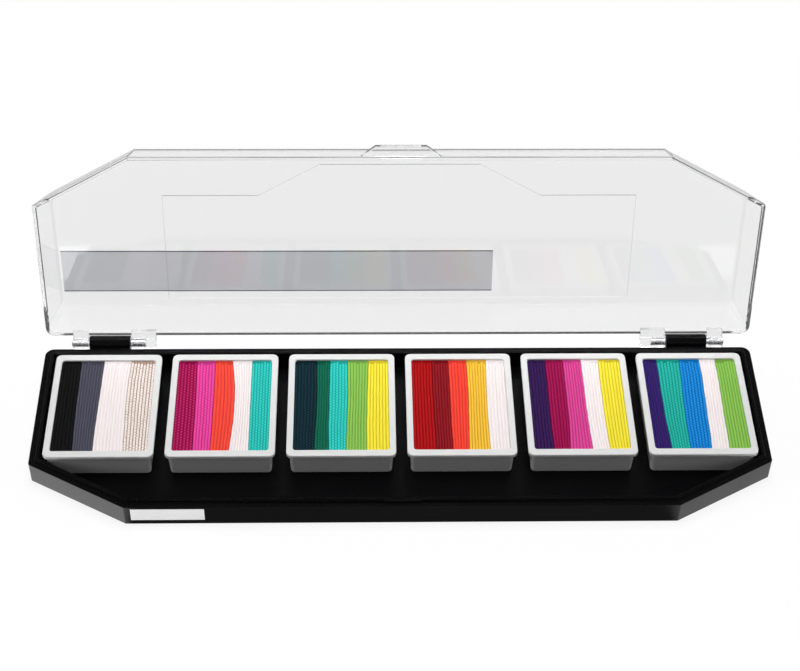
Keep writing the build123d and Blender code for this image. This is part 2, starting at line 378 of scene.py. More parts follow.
def boolean(piece, other, operation):
    apply(piece, "BOOLEAN", object=other, operation=operation, solver="MANIFOLD")
    bpy.data.objects.remove(other)


def add_on(piece, *others):
    for other in others:
        boolean(piece, other, "UNION")


def cut_out(piece, *others):
    for other in others:
        boolean(piece, other, "DIFFERENCE")


def smooth(piece, angle=35):
    alone(piece)
    bpy.ops.object.shade_smooth_by_angle(angle=math.radians(angle))
    apply(piece, "WEIGHTED_NORMAL", keep_sharp=True)


def duplicate(piece, name):
    """A copy of a piece with a mesh of its own."""
    alone(piece)
    bpy.ops.object.duplicate(linked=False)
    made = bpy.context.object
    made.name = name
    made.data.name = name
    return made


def shifted(piece, by):
    alone(piece)
    piece.location = by
    bpy.ops.object.transform_apply(location=True, rotation=False, scale=False)
    return piece


def mirrored(piece, name):
    """A copy on the palette's other side, turned the right way out again."""
    made = duplicate(piece, name)
    made.scale = (-1, 1, 1)
    bpy.ops.object.transform_apply(location=False, rotation=False, scale=True)
    with Bench(made) as bench:
        bench.outwards()
    return made


def opened(piece):
    """A piece of the closed lid, turned about the hinges to where the open lid stands."""
    turn = Matrix.Rotation(OPEN_TURN, 4, "X")
    piece.rotation_euler = turn.to_euler()
    piece.location = HINGE - turn @ HINGE
    alone(piece)
    bpy.ops.object.transform_apply(location=True, rotation=True, scale=True)
    return piece


def belongs(piece, body, slot, finish, *nodes):
    """Gives a finished piece its body, its material and the nodes that it stands for; the slot is not
    used.
    """
    piece.data.materials.clear()
    piece.data.materials.append(finish.material)
    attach(piece, body)
    if nodes:
        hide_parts(*nodes)


def outline_block(name, low, high):
    """A block with the palette's outline, its two front corners cut off."""
    piece = block(name, (-WIDTH / 2, FRONT, low), (WIDTH / 2, BACK, high))
    with Bench(piece) as bench:
        for side in (-1, 1):
            corner = (side * (WIDTH / 2 - CORNER_CUT), FRONT, low)
            bench.cut_off(corner, (side * CUT_DEPTH, -CORNER_CUT, 0))
    return piece


def round_outline(bench, inset, back_radius, front_radius):
    """Rounds the outline's upright corners where it is drawn in by a margin at one end."""
    side = WIDTH / 2
    corners = (
        (Vector((side, BACK)), Vector((1, 1)), math.pi / 2, back_radius, 6),
        (
            Vector((side, FRONT + CUT_DEPTH)),
            Vector((1, -math.tan((math.pi / 2 - CUT_ANGLE) / 2))),
            math.pi / 2 - CUT_ANGLE,
            front_radius,
            4,
        ),
        (
            Vector((side - CORNER_CUT, FRONT)),
            Vector((math.tan(CUT_ANGLE / 2), -1)),
            CUT_ANGLE,
            front_radius,
            3,
        ),
    )
    for corner, drawn, turn, radius, segments in corners:
        ends = [corner - drawn * margin for margin in inset]

        def runs_up(edge, ends=ends):
            low, high = sorted((v.co for v in edge.verts), key=lambda co: co.z)
            return high.z - low.z > 0.1 * MM and all(
                (Vector((abs(co.x), co.y)) - end).length < 0.05 * MM
                for co, end in zip((low, high), ends)
            )

        bench.pick("EDGE", runs_up)
        bench.bevel(radius * math.tan(turn / 2), segments)


def tray_finish():
    finish = Finish("black moulded plastic", IOR=1.5, Specular_IOR_Level=0.12)
    fine = finish.noise(1800, 3)
    broad = finish.noise(45, 2, (1, 2.5, 1))
    finish.set(
        "Base Color", finish.blend(broad, (0.0022, 0.0021, 0.0026, 1), (0.0038, 0.0036, 0.0042, 1))
    )
    finish.set("Roughness", finish.between(broad * 0.6 + fine * 0.4, 0.3, 0.7, 0.24, 0.4))
    finish.bump(fine, 0.01 * MM, 0.2)
    return finish


def clear_finish():
    """Clear moulded plastic, which lamps shine through and which bends what is behind it."""
    lid = bpy.context.scene.palette_lid
    finish = Finish("clear moulded plastic", IOR=lid.ior, Transmission_Weight=0.972)
    # The edge attribute turns the platform's side walls grey: painted shade for the dark lines that
    # refraction draws there
    edge = finish.node("ShaderNodeAttribute", {"attribute_name": "edge"}, output="Fac")
    finish.set("Base Color", finish.blend(edge, (*lid.tint, 1), (0.5, 0.5, 0.5, 1)))
    broad = finish.noise(28, 1)
    scratches = finish.noise(900, 2, (1, 0.06, 0.06))
    finish.set("Roughness", finish.between(scratches, 0.62, 0.8, 0.0, 0.05))
    finish.bump(broad, 0.25 * MM, 0.03)
    lamps = finish.node("ShaderNodeLightPath", output="Is Shadow Ray")
    bare = finish.node("ShaderNodeBsdfTransparent", None, {"Color": (0.93, 0.93, 0.935, 1)})
    shader = Value(finish, finish.shader.outputs["BSDF"])
    both = finish.node("ShaderNodeMixShader", None, {0: lamps, 1: shader, 2: bare})
    finish.feed(finish.output.inputs["Surface"], both)
    return finish


def cup_finish():
    finish = Finish("white moulded plastic", IOR=1.5)
    cloudy = finish.noise(120, 2)
    fine = finish.noise(2500, 2)
    finish.set("Base Color", finish.blend(cloudy, (0.77, 0.775, 0.765, 1), (0.82, 0.825, 0.82, 1)))
    finish.set("Roughness", finish.between(fine, 0.35, 0.65, 0.3, 0.42))
    finish.bump(fine, 0.01 * MM, 0.3)
    return finish


def paint_finish(name):
    """Paint in its own colour with streaks along the ridges, painted shade in the grooves, a painted
    highlight on the crests and painted glints on the beads.
    """
    colour, roughness, beading_and_glints = PAINTS[name]
    colour = linear(colour)
    finish = Finish(f"{name} paint", IOR=1.45, Specular_IOR_Level=0.05)
    crest = finish.node("ShaderNodeAttribute", {"attribute_name": "crest"}, output="Fac")
    bead = finish.node("ShaderNodeAttribute", {"attribute_name": "bead"}, output="Fac")
    streaks = finish.noise(1500, 3, (1, 0.08, 0.4))
    grain = finish.noise(4200, 2)
    # This mixes painted shade in the grooves and a painted highlight on the crests, from the crest
    # attribute, with the paint's real streaks and grain
    ridge_shading_and_streaks = finish.between(crest * 0.7 + streaks * 0.2 + grain * 0.1, 0.15, 0.8)
    if name == "pearl":
        # The pearl's tan grooves are painted shade and its pale bead tops painted glints; the dark
        # specks are its own
        pearl_shade_and_glints = finish.between(ridge_shading_and_streaks * 0.45 + bead * 0.55, 0.12, 0.62)
        shade = finish.blend(pearl_shade_and_glints, linear((160, 130, 105)), linear((255, 245, 240)))
        specks = finish.between(finish.noise(2600, 1), 0.62, 0.68, 0, 0.7)
        shade = finish.blend(specks, shade, linear((130, 90, 65)))
    else:
        # Groove colour darkened as painted shade, crest colour lightened as a painted highlight
        groove_shade = dimmed(colour, 0.88 if name == "white" else 0.6)
        light = (*(min(1.0, c * 1.08 + 0.004) for c in colour[:3]), 1.0)
        # Bead tops brightened: painted glints
        bead_glint = (*(min(1.0, c * 1.4 + 0.06) for c in colour[:3]), 1.0)
        shade = finish.blend(ridge_shading_and_streaks, groove_shade, light)
        shade = finish.blend(finish.between(bead, 0.5, 0.85, 0, beading_and_glints), shade, bead_glint)
    finish.set("Base Color", shade)
    finish.set("Roughness", finish.between(grain, 0.3, 0.7, roughness - 0.06, roughness + 0.08))
    finish.bump(grain * 0.6 + streaks * 0.4, 0.05 * MM, 0.3 + 0.5 * beading_and_glints)
    return finish


def steel_finish():
    finish = Finish("drawn steel", Metallic=1.0)
    rings = finish.noise(2600, 2, (1, 0.1, 0.1))
    finish.set("Base Color", finish.blend(rings, (0.36, 0.36, 0.37, 1), (0.66, 0.66, 0.67, 1)))
    finish.set("Roughness", finish.between(rings, 0.3, 0.7, 0.18, 0.34))
    finish.bump(rings, 0.01 * MM, 0.4)
    return finish


def print_finish(name, dark, light, roughness):
    """Flat printed ink with the faint unevenness of a screen print."""
    finish = Finish(name, IOR=1.45)
    mesh = finish.noise(3200, 2)
    pull = finish.noise(260, 2, (0.15, 1, 1))
    finish.set("Base Color", finish.blend(mesh * 0.35 + pull * 0.65, dark, light))
    finish.set("Roughness", finish.between(mesh, 0.3, 0.7, roughness - 0.05, roughness + 0.08))
    finish.bump(mesh, 0.005 * MM, 0.3)
    return finish


def length(name, description, default):
    return FloatProperty(name=name, description=description, default=default, subtype="DISTANCE")


class PaletteTray(bpy.types.PropertyGroup):
    floor: length("Floor", "Thickness of the tray's floor", 2.3 * MM)
    ledge: length("Ledge", "Width of the ledge that the lid closes on", 2.1 * MM)
    lip: length("Lip", "Thickness of the lip inside the ledge", 1.2 * MM)
    foot: length("Foot", "Slant round the tray's underside", 0.5 * MM)
    softness: length("Softness", "Rounding of the tray's edges", 0.22 * MM)


class PaletteLid(bpy.types.PropertyGroup):
    depth: length("Depth", "From the lid's rim to the outside of its panel", 13 * MM)
    wall: length("Wall", "Thickness of the lid's walls and panel", 1.5 * MM)
    lean: length("Lean", "How far the walls draw in towards the panel", 4.1 * MM)
    platform: length("Platform", "Height of the raised shape inside the panel", 0.3 * MM)
    softness: length("Softness", "Rounding of the lid's edges", 0.35 * MM)
    ior: FloatProperty(name="IOR", description="How strongly the clear plastic bends light",
                       default=1.37)
    tint: FloatVectorProperty(name="Tint", description="Colour that the clear plastic lets through",
                              default=(0.995, 0.995, 1.0), subtype="COLOR")


class PaletteCups(bpy.types.PropertyGroup):
    pitch: length("Pitch", "From one cup's middle to the next", 39 * MM)
    rim_height: length("Rim height", "Height of a cup's rim", 1.4 * MM)
    overhang: length("Overhang", "How far the rim stands out over the cup", 0.9 * MM)
    side_rim: length("Side rim", "Width of the rim beside the paint", 2.1 * MM)
    end_rim: length("End rim", "Width of the rim at the paint's ends", 2.6 * MM)
    floor: length("Floor", "Thickness of a cup's floor", 1.2 * MM)


class PalettePaint(bpy.types.PropertyGroup):
    groove: length("Groove", "Depth of the grooves that the comb leaves", 0.24 * MM)
    bead: length("Bead", "Height of the beads along the ridges", 0.08 * MM)
    beads: IntProperty(name="Beads", description="Beads along one ridge", default=34)
    wander: length("Wander", "How far the stripes' edges wander sideways", 0.09 * MM)
    columns: IntProperty(name="Columns", description="Faces across one stripe", default=56)
    rows: IntProperty(name="Rows", description="Faces along one stripe", default=170)


class PaletteStage(bpy.types.PropertyGroup):
    elevation: FloatProperty(name="Elevation", description="Height of the camera above the horizon",
                             default=math.radians(46), subtype="ANGLE")
    yaw: FloatProperty(name="Yaw", description="Turn of the camera round the palette",
                       default=math.radians(-1.873), subtype="ANGLE")
    roll: FloatProperty(name="Roll", description="Tilt of the camera on its own axis",
                        default=math.radians(1.17), subtype="ANGLE")
    lens: FloatProperty(name="Lens", description="Focal length of the camera in millimetres",
                        default=83.205)
    key: FloatProperty(name="Key", description="Power of the overhead lamp", default=13, unit="POWER")
    sides: FloatProperty(name="Sides", description="Power of each side lamp", default=5, unit="POWER")


class PALETTE_OT_stage(bpy.types.Operator):
    """Adds the camera, the floor, the lamps and the pale surroundings"""

    bl_idname = "palette.stage"
    bl_label = "Stage"

    def execute(self, context):
        stage = context.scene.palette_stage
        context.scene.view_settings.view_transform = "Standard"
        self.camera(context, stage)
        self.floor()
        self.lamp("overhead", (0.0, 0.22, 1.4), 0.75, stage.key)
        self.lamp("left", (-1.25, -0.25, 0.55), 0.6, stage.sides)
        self.lamp("right", (1.25, -0.25, 0.55), 0.6, stage.sides * 0.8)
        self.surroundings(context)
        return {"FINISHED"}

    def camera(self, context, stage):
        rise, yaw = stage.elevation, stage.yaw
        behind = Vector(
            (math.sin(yaw) * math.cos(rise), -math.cos(yaw) * math.cos(rise), math.sin(rise))
        )
        across = Vector((math.cos(yaw), math.sin(yaw), 0))
        above = behind.cross(across)
        right = across * math.cos(stage.roll) + above * math.sin(stage.roll)
        up = above * math.cos(stage.roll) - across * math.sin(stage.roll)
        turn = Matrix((right, up, behind)).transposed()
        target = Vector((0.42 * MM, 40.38 * MM, 8.6 * MM))
        bpy.ops.object.camera_add(location=target + behind * 635.16 * MM, rotation=turn.to_euler())
        camera = context.object
        camera.name = "camera"
        camera.data.lens = stage.lens
        camera.data.sensor_width = 36
        camera.data.clip_start = 0.01
        context.scene.camera = camera

    def floor(self):
        bpy.ops.mesh.primitive_plane_add(size=8, location=(0, 0, -0.05 * MM))
        floor = bpy.context.object
        floor.name = "floor"
        finish = Finish("pale floor", Roughness=0.9, Specular_IOR_Level=0.0)
        # In reflections the floor's diffuse colour is black and its emission follows the painted
        # reflection patches: a painted shadow along the tray's front and painted pools of light beside
        # its front corners
        mirrored = finish.node("ShaderNodeLightPath", output="Is Glossy Ray")
        glow = 1.04
        strength = glow + mirrored * (self.painted_reflection_patches(finish) - glow)
        light = finish.node("ShaderNodeEmission", None, {"Color": (1, 1, 1, 1), "Strength": strength})
        finish.set("Base Color", finish.blend(mirrored, (0.9, 0.9, 0.9, 1), (0, 0, 0, 1)))
        plain = Value(finish, finish.shader.outputs["BSDF"])
        share = self.seen(finish) * 0.84
        both = finish.node("ShaderNodeMixShader", None, {0: share, 1: plain, 2: light})
        finish.feed(finish.output.inputs["Surface"], both)
        floor.data.materials.append(finish.material)

    def painted_reflection_patches(self, finish):
        """Brightness of the floor in reflections: a painted shadow in a strip along the tray's front,
        dimming it to 0.35, and painted pools of light before the tray's cut-off front corners.
        """
        places = finish.node("ShaderNodeTexCoord", output="Object")
        across = finish.node("ShaderNodeSeparateXYZ", None, {"Vector": places}, output="X")
        along = finish.node("ShaderNodeSeparateXYZ", None, {"Vector": places}, output="Y")
        left = finish.between(across, -0.086, -0.089, 0.0, 4.0)
        right = finish.between(across, 0.086, 0.089, 0.0, 2.2)
        strip = finish.between(along, -0.052, -0.047) * finish.between(along, -0.01, -0.014)
        return (left + right - 0.65) * strip + 1

    def seen(self, nodes):
        """1 for rays that look at the backdrop: straight, in a reflection or through plastic."""
        path = {
            name: nodes.node("ShaderNodeLightPath", output=name)
            for name in ("Is Camera Ray", "Is Glossy Ray", "Is Transmission Ray")
        }
        straight = path["Is Camera Ray"].at_least(path["Is Glossy Ray"])
        return straight.at_least(path["Is Transmission Ray"])

    def lamp(self, name, place, size, power):
        aim = Vector((0, 0, 0)) - Vector(place)
        bpy.ops.object.light_add(
            type="AREA", location=place, rotation=aim.to_track_quat("-Z", "Y").to_euler()
        )
        lamp = bpy.context.object
        lamp.name = f"lamp_{name}"
        lamp.visible_glossy = False
        lamp.data.size = size
        lamp.data.energy = power

    def surroundings(self, context):
        """A white horizon under a dim ceiling, and faint fill light."""
        world = bpy.data.worlds.new("surroundings")
        context.scene.world = world
        world.use_nodes = True
        nodes = Nodes(world.node_tree)
        ground = world.node_tree.nodes["Background"]
        coordinates = nodes.node("ShaderNodeTexCoord", output="Generated")
        height = nodes.node("ShaderNodeSeparateXYZ", None, {"Vector": coordinates}, output="Z")
        seen = self.seen(nodes)
        through = nodes.node("ShaderNodeLightPath", output="Is Transmission Ray")
        dim, clear, fill = 0.16, 0.92, 0.085
        ceiling = nodes.between(height, 0.3, 0.55, 1.0, through * (clear - dim) + dim)
        nodes.feed(ground.inputs["Color"], (1, 1, 1, 1))
        nodes.feed(ground.inputs["Strength"], ceiling * seen + (1 - seen) * fill)


class PALETTE_OT_tray(bpy.types.Operator):
    """Models the black tray with its ledge, lip, catch and hinge knuckles"""

    bl_idname = "palette.tray"
    bl_label = "Tray"

    def execute(self, context):
        sizes = context.scene.palette_tray
        tray = outline_block("palette_tray", sizes.foot, LEDGE)
        well = sizes.ledge + sizes.lip
        with Bench(tray) as bench:
            bench.cap(1)
            bench.inset(sizes.ledge)
            bench.extrude((0, 0, LIP_TOP - LEDGE))
            bench.inset(sizes.lip)
            bench.extrude((0, 0, sizes.floor - LIP_TOP))
            for margin, back, front in (
                (0, BACK_RADIUS, FRONT_RADIUS),
                (sizes.ledge, BACK_RADIUS - sizes.ledge, LEAST_RADIUS),
                (well, LEAST_RADIUS, LEAST_RADIUS),
            ):
                round_outline(bench, (margin, margin), back, front)
            bench.cap(-1)
            bench.inset(sizes.foot)
            bench.move((0, 0, -sizes.foot))
        soften(tray, sizes.softness, 3)
        catch_x, lip_front = 6 * MM, FRONT + sizes.ledge
        catch = block("catch", (-catch_x, lip_front - 0.6 * MM, LEDGE - 0.3 * MM),
                      (catch_x, lip_front + 0.5 * MM, LIP_TOP - 0.05 * MM))
        soften(catch, 0.2 * MM)
        add_on(tray, catch)
        knuckle = rod("knuckle", KNUCKLE_RADIUS, TRAY_KNUCKLE, sides=48)
        soften(knuckle, 0.25 * MM)
        web = block("web", (TRAY_KNUCKLE[0] + CLEAR, BACK - 1.2 * MM, LEDGE - KNUCKLE_RADIUS + CLEAR),
                    (TRAY_KNUCKLE[1] - CLEAR, HINGE.y, LEDGE - CLEAR))
        soften(web, 0.15 * MM)
        add_on(knuckle, web)
        bore = rod("bore", 1.2 * MM, (TRAY_KNUCKLE[0] - MM, TRAY_KNUCKLE[1] + MM), sides=32)
        cut_out(knuckle, bore)
        add_on(tray, mirrored(knuckle, "knuckle_left"), knuckle)
        smooth(tray)
        belongs(tray, "tray", "tray_black", tray_finish(), "tray")
        return {"FINISHED"}


class PALETTE_OT_lid(bpy.types.Operator):
    """Models the clear lid with its leaning walls, platform, thumb tab, latch and knuckles"""

    bl_idname = "palette.lid"
    bl_label = "Lid"

    def execute(self, context):
        sizes = context.scene.palette_lid
        lid = outline_block("palette_lid", RIM, RIM + sizes.depth)
        inner_lean = sizes.lean * (sizes.depth - sizes.wall) / sizes.depth
        with Bench(lid) as bench:
            self.lean_in(bench, sizes)
            bench.cap(-1)
            bench.inset(sizes.wall)
            bench.inset(inner_lean)
            bench.move((0, 0, sizes.depth - sizes.wall))
            round_outline(bench, (0, sizes.lean), BACK_RADIUS, FRONT_RADIUS)
        self.inner_corners(lid, sizes, inner_lean)
        soften(lid, sizes.softness, 4, 25)
        ceiling = RIM + sizes.depth - sizes.wall
        self.platform(lid, ceiling, sizes.platform)
        self.tab(lid)
        self.knuckles(lid)
        self.paint_platform_edge_shade(lid, ceiling, sizes.platform)
        opened(lid)
        self.heels(lid)
        smooth(lid, 30)
        belongs(lid, "lid", "lid_clear", clear_finish(), "lid")
        return {"FINISHED"}

    def lean_in(self, bench, sizes):
        """Draws the top face in by an even margin, so that the walls lean."""
        mesh = bmesh.from_edit_mesh(bench.piece.data)
        high = RIM + sizes.depth
        slope = math.tan((math.pi / 2 - CUT_ANGLE) / 2)
        for corner in mesh.verts:
            if corner.co.z < high - 1e-6:
                continue
            side = math.copysign(1, corner.co.x)
            if corner.co.y > 0:
                drawn = Vector((side, 1, 0))
            elif corner.co.y > FRONT + 1e-4:
                drawn = Vector((side, -slope, 0))
            else:
                drawn = Vector((side * math.tan(CUT_ANGLE / 2), -1, 0))
            corner.co -= drawn * sizes.lean
        bmesh.update_edit_mesh(bench.piece.data)

    def inner_corners(self, lid, sizes, inner_lean):
        """Rounds the hollow's upright corners."""
        with Bench(lid) as bench:
            round_outline(bench, (sizes.wall, sizes.wall + inner_lean), 1.2 * MM, 0.6 * MM)

    def platform(self, lid, level, height):
        """The very shallow raised shape that shows as a fine line."""
        side_x, foot_x, crown_x = 79, 47, 26.5
        shoulder, crown = BACK - 48.3 * MM, BACK - 60 * MM
        piece = block("platform", (-side_x * MM, shoulder, level - height),
                      (side_x * MM, BACK - 8 * MM, level + 0.2 * MM))
        with Bench(piece) as bench:
            for side in (-1, 1):
                bench.slice((side * foot_x * MM, 0, 0), (1, 0, 0))
            bench.pick("FACE", lambda f: f.normal.y < -0.9 and abs(f.calc_center_median().x) < MM)
            bench.extrude((0, crown - shoulder, 0))
            bpy.ops.transform.resize(value=(crown_x / foot_x, 1, 1), center_override=(0, crown, level))
            bench.cap(-1)
            draft = 0.3
            bpy.ops.transform.resize(value=(1 - draft / side_x, 1, 1), center_override=(0, 0, level))
        add_on(lid, piece)

    def paint_platform_edge_shade(self, lid, level, height):
        """Marks the platform's side walls, which the clear material paints faintly grey: painted shade
        for the dark lines that refraction draws along them.
        """
        edge = lid.data.attributes.new("edge", "FLOAT", "FACE")
        for face, mark in zip(lid.data.polygons, edge.data):
            x, _, z = face.center
            on_platform = abs(x) < 80 * MM and level - height < z < level
            mark.value = on_platform and abs(face.normal.x) > 0.3

    def tab(self, lid):
        """The latch pocket in the front wall, and the thumb tab before it."""
        pocket_x, pocket_front = 6.6 * MM, FRONT + 0.7 * MM
        pocket = block("pocket", (-pocket_x, pocket_front, RIM - MM),
                       (pocket_x, pocket_front + 2 * MM, RIM + 1.3 * MM))
        cut_out(lid, pocket)
        root, root_x = FRONT + 0.4 * MM, 13.7 * MM
        tip, tip_x = FRONT - 3.5 * MM, 8.3 * MM
        tab = block("tab", (-root_x, tip, RIM + CLEAR), (root_x, root, RIM + 1.6 * MM))
        with Bench(tab) as bench:
            for side in (-1, 1):
                bench.cut_off((side * tip_x, tip, RIM), (side * 3.5, -4.4, 0))
        soften(tab, 0.25 * MM, 3)
        add_on(lid, tab)

    def knuckles(self, lid):
        for span in (OUTER_KNUCKLE, INNER_KNUCKLE):
            piece = rod("clear_knuckle", KNUCKLE_RADIUS, span, sides=48)
            soften(piece, 0.2 * MM)
            web = block("web", (span[0] + CLEAR, BACK - 1.2 * MM, RIM + CLEAR),
                        (span[1] - CLEAR, HINGE.y, HINGE.z + KNUCKLE_RADIUS - CLEAR))
            soften(web, 0.15 * MM)
            add_on(piece, web)
            cut_out(piece, self.bore())
            add_on(lid, mirrored(piece, "clear_knuckle_left"), piece)

    def bore(self):
        return rod("bore", 1.18 * MM, (PIN[0] - 0.1 * MM, PIN[1] + MM), sides=32)

    def heels(self, lid):
        """Square heels under the knuckles, which stop the lid where it stands open."""
        for span in (OUTER_KNUCKLE, INNER_KNUCKLE):
            heel = block("heel", (span[0] + CLEAR, BACK + 0.05 * MM, LEDGE - 1.3 * MM),
                         (span[1] - CLEAR, HINGE.y - 1.3 * MM, LEDGE - CLEAR))
            add_on(lid, mirrored(heel, "heel_left"), heel)


class PALETTE_OT_pins(bpy.types.Operator):
    """Models the two steel hinge pins with their knurled ends"""

    bl_idname = "palette.pins"
    bl_label = "Hinge pins"

    def execute(self, context):
        sides, pitch = 48, 0.28 * MM
        pin = rod("hinge_pin_steel_right", 1.08 * MM, PIN, sides=sides)
        rings = [PIN[0] + 0.35 * MM + i * pitch for i in range(17)]
        with Bench(pin) as bench:
            for place in (*rings, KNURL_END):
                bench.slice((place, 0, 0), (1, 0, 0))

            def is_crest(vert):
                row = round((vert.co.x - rings[0]) / pitch)
                if not 0 <= row < len(rings) or abs(rings[0] + row * pitch - vert.co.x) > 1e-6:
                    return False
                turn = math.atan2(vert.co.z - HINGE.z, vert.co.y - HINGE.y)
                return (round(turn / (2 * math.pi) * sides) + row) % 2 == 0

            bench.pick("VERT", is_crest)
            bpy.ops.transform.shrink_fatten(value=0.07 * MM)
            bench.cap(1, axis=0)
            bpy.ops.mesh.region_to_loop()
            bench.bevel(0.2 * MM, 2)
        smooth(pin, 20)
        left = mirrored(pin, "hinge_pin_steel_left")
        smooth(left, 20)
        finish = steel_finish()
        belongs(pin, "lid", "pin_steel", finish, "hinge_pin_right")
        belongs(left, "lid", "pin_steel", finish, "hinge_pin_left")
        return {"FINISHED"}


class PALETTE_OT_cups(bpy.types.Operator):
    """Models one white cup and copies it along the tray"""

    bl_idname = "palette.cups"
    bl_label = "Cups"

    def execute(self, context):
        sizes = context.scene.palette_cups
        finish = cup_finish()
        first = self.cup(sizes)
        for i in range(CUPS):
            name = f"cup_{i + 1}"
            cup = duplicate(first, f"white_{name}")
            shifted(cup, (i * sizes.pitch, 0, 0))
            belongs(cup, name, "cup_white", finish, name)
        bpy.data.objects.remove(first)
        return {"FINISHED"}

    def cup(self, sizes):
        low, high = CUP_LOW, CUP_HIGH
        rim_low = high.z - sizes.rim_height
        cup = block("cup", (low.x, low.y, rim_low), high)
        middle = (low + high) / 2
        with Bench(cup) as bench:
            bench.cap(1)
            bench.inset(sizes.side_rim)
            self.draw_in(middle, sizes)
            bench.extrude((0, 0, low.z + sizes.floor - high.z))
            bench.cap(-1)
            bench.inset(sizes.overhang)
            bench.extrude((0, 0, low.z - rim_low))
            half = (high - low) / 2 - Vector((sizes.overhang, sizes.overhang, 0))
            bpy.ops.transform.resize(
                value=(1 - 0.4 * MM / half.x, 1 - 0.4 * MM / half.y, 1), center_override=middle
            )
            self.round_corners(bench, middle, (high - low) / 2, 2 * MM, 8)
            self.round_corners(bench, middle, half, 1.5 * MM, 6)
            inner = (high - low) / 2 - Vector((sizes.side_rim, sizes.end_rim, 0))
            self.round_corners(bench, middle, inner, 1 * MM, 5)
        soften(cup, 0.3 * MM, 3, 40)
        smooth(cup, 35)
        return cup

    def draw_in(self, middle, sizes):
        """Brings the hollow's ends in to the width of the end rim."""
        extra = sizes.end_rim - sizes.side_rim
        half = (CUP_HIGH.y - CUP_LOW.y) / 2 - sizes.side_rim
        bpy.ops.transform.resize(value=(1, 1 - extra / half, 1), center_override=middle)

    def round_corners(self, bench, middle, half, radius, segments):
        def upright(edge):
            a, b = (v.co - middle for v in edge.verts)
            return abs(a.z - b.z) > MM and all(
                abs(abs(p.x) - half.x) < 0.5 * MM and abs(abs(p.y) - half.y) < 0.5 * MM for p in (a, b)
            )

        bench.pick("EDGE", upright)
        bench.bevel(radius, segments)


